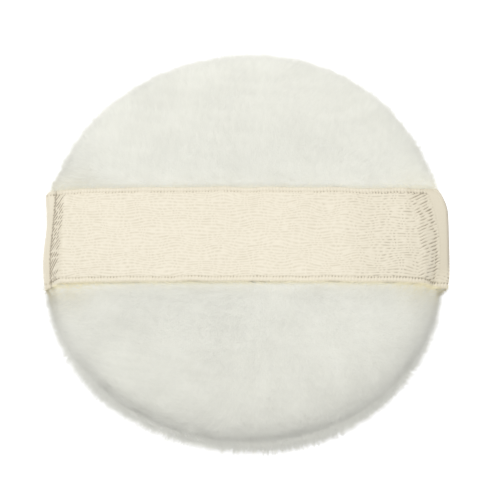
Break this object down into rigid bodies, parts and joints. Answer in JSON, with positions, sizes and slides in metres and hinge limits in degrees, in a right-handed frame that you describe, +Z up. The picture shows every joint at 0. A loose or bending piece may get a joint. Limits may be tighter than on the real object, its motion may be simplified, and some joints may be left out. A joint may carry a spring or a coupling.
{
  "type": "powder puff",
  "caption": "Round plush powder puff: velour covers sewn over a soft foam pad, with a flat satin ribbon across the back for the fingers, its ends caught in the rim seam.",
  "frame": {"origin": "centre of the flat of the application face, on the surface that the puff rests on", "axes": "+Z up through the pad to the ribbon side, +X along the ribbon, +Y across the ribbon towards the hand-closed part of the rim"},
  "size_m": [0.0804, 0.0798, 0.0182],
  "materials": {
    "velour": "matte short plush pile, off-white",
    "satin": "soft satin weave, cream",
    "foam": "matte open-cell foam, white",
    "thread": "twisted sewing thread, cream"
  },
  "bodies": {
    "puff": {"back_cover": "velour", "front_cover": "velour", "foam_pad": "foam", "needle_thread": "thread", "bobbin_thread": "thread", "closing_thread": "thread"},
    "ribbon": {"ribbon_strap": "satin"}
  },
  "joints": [
    {"name": "ribbon_lift", "type": "slide", "parent": "puff", "child": "ribbon", "axis": [0, 0, 1], "range_m": [0, 0.006], "deforming": ["ribbon_strap"]}
  ]
}
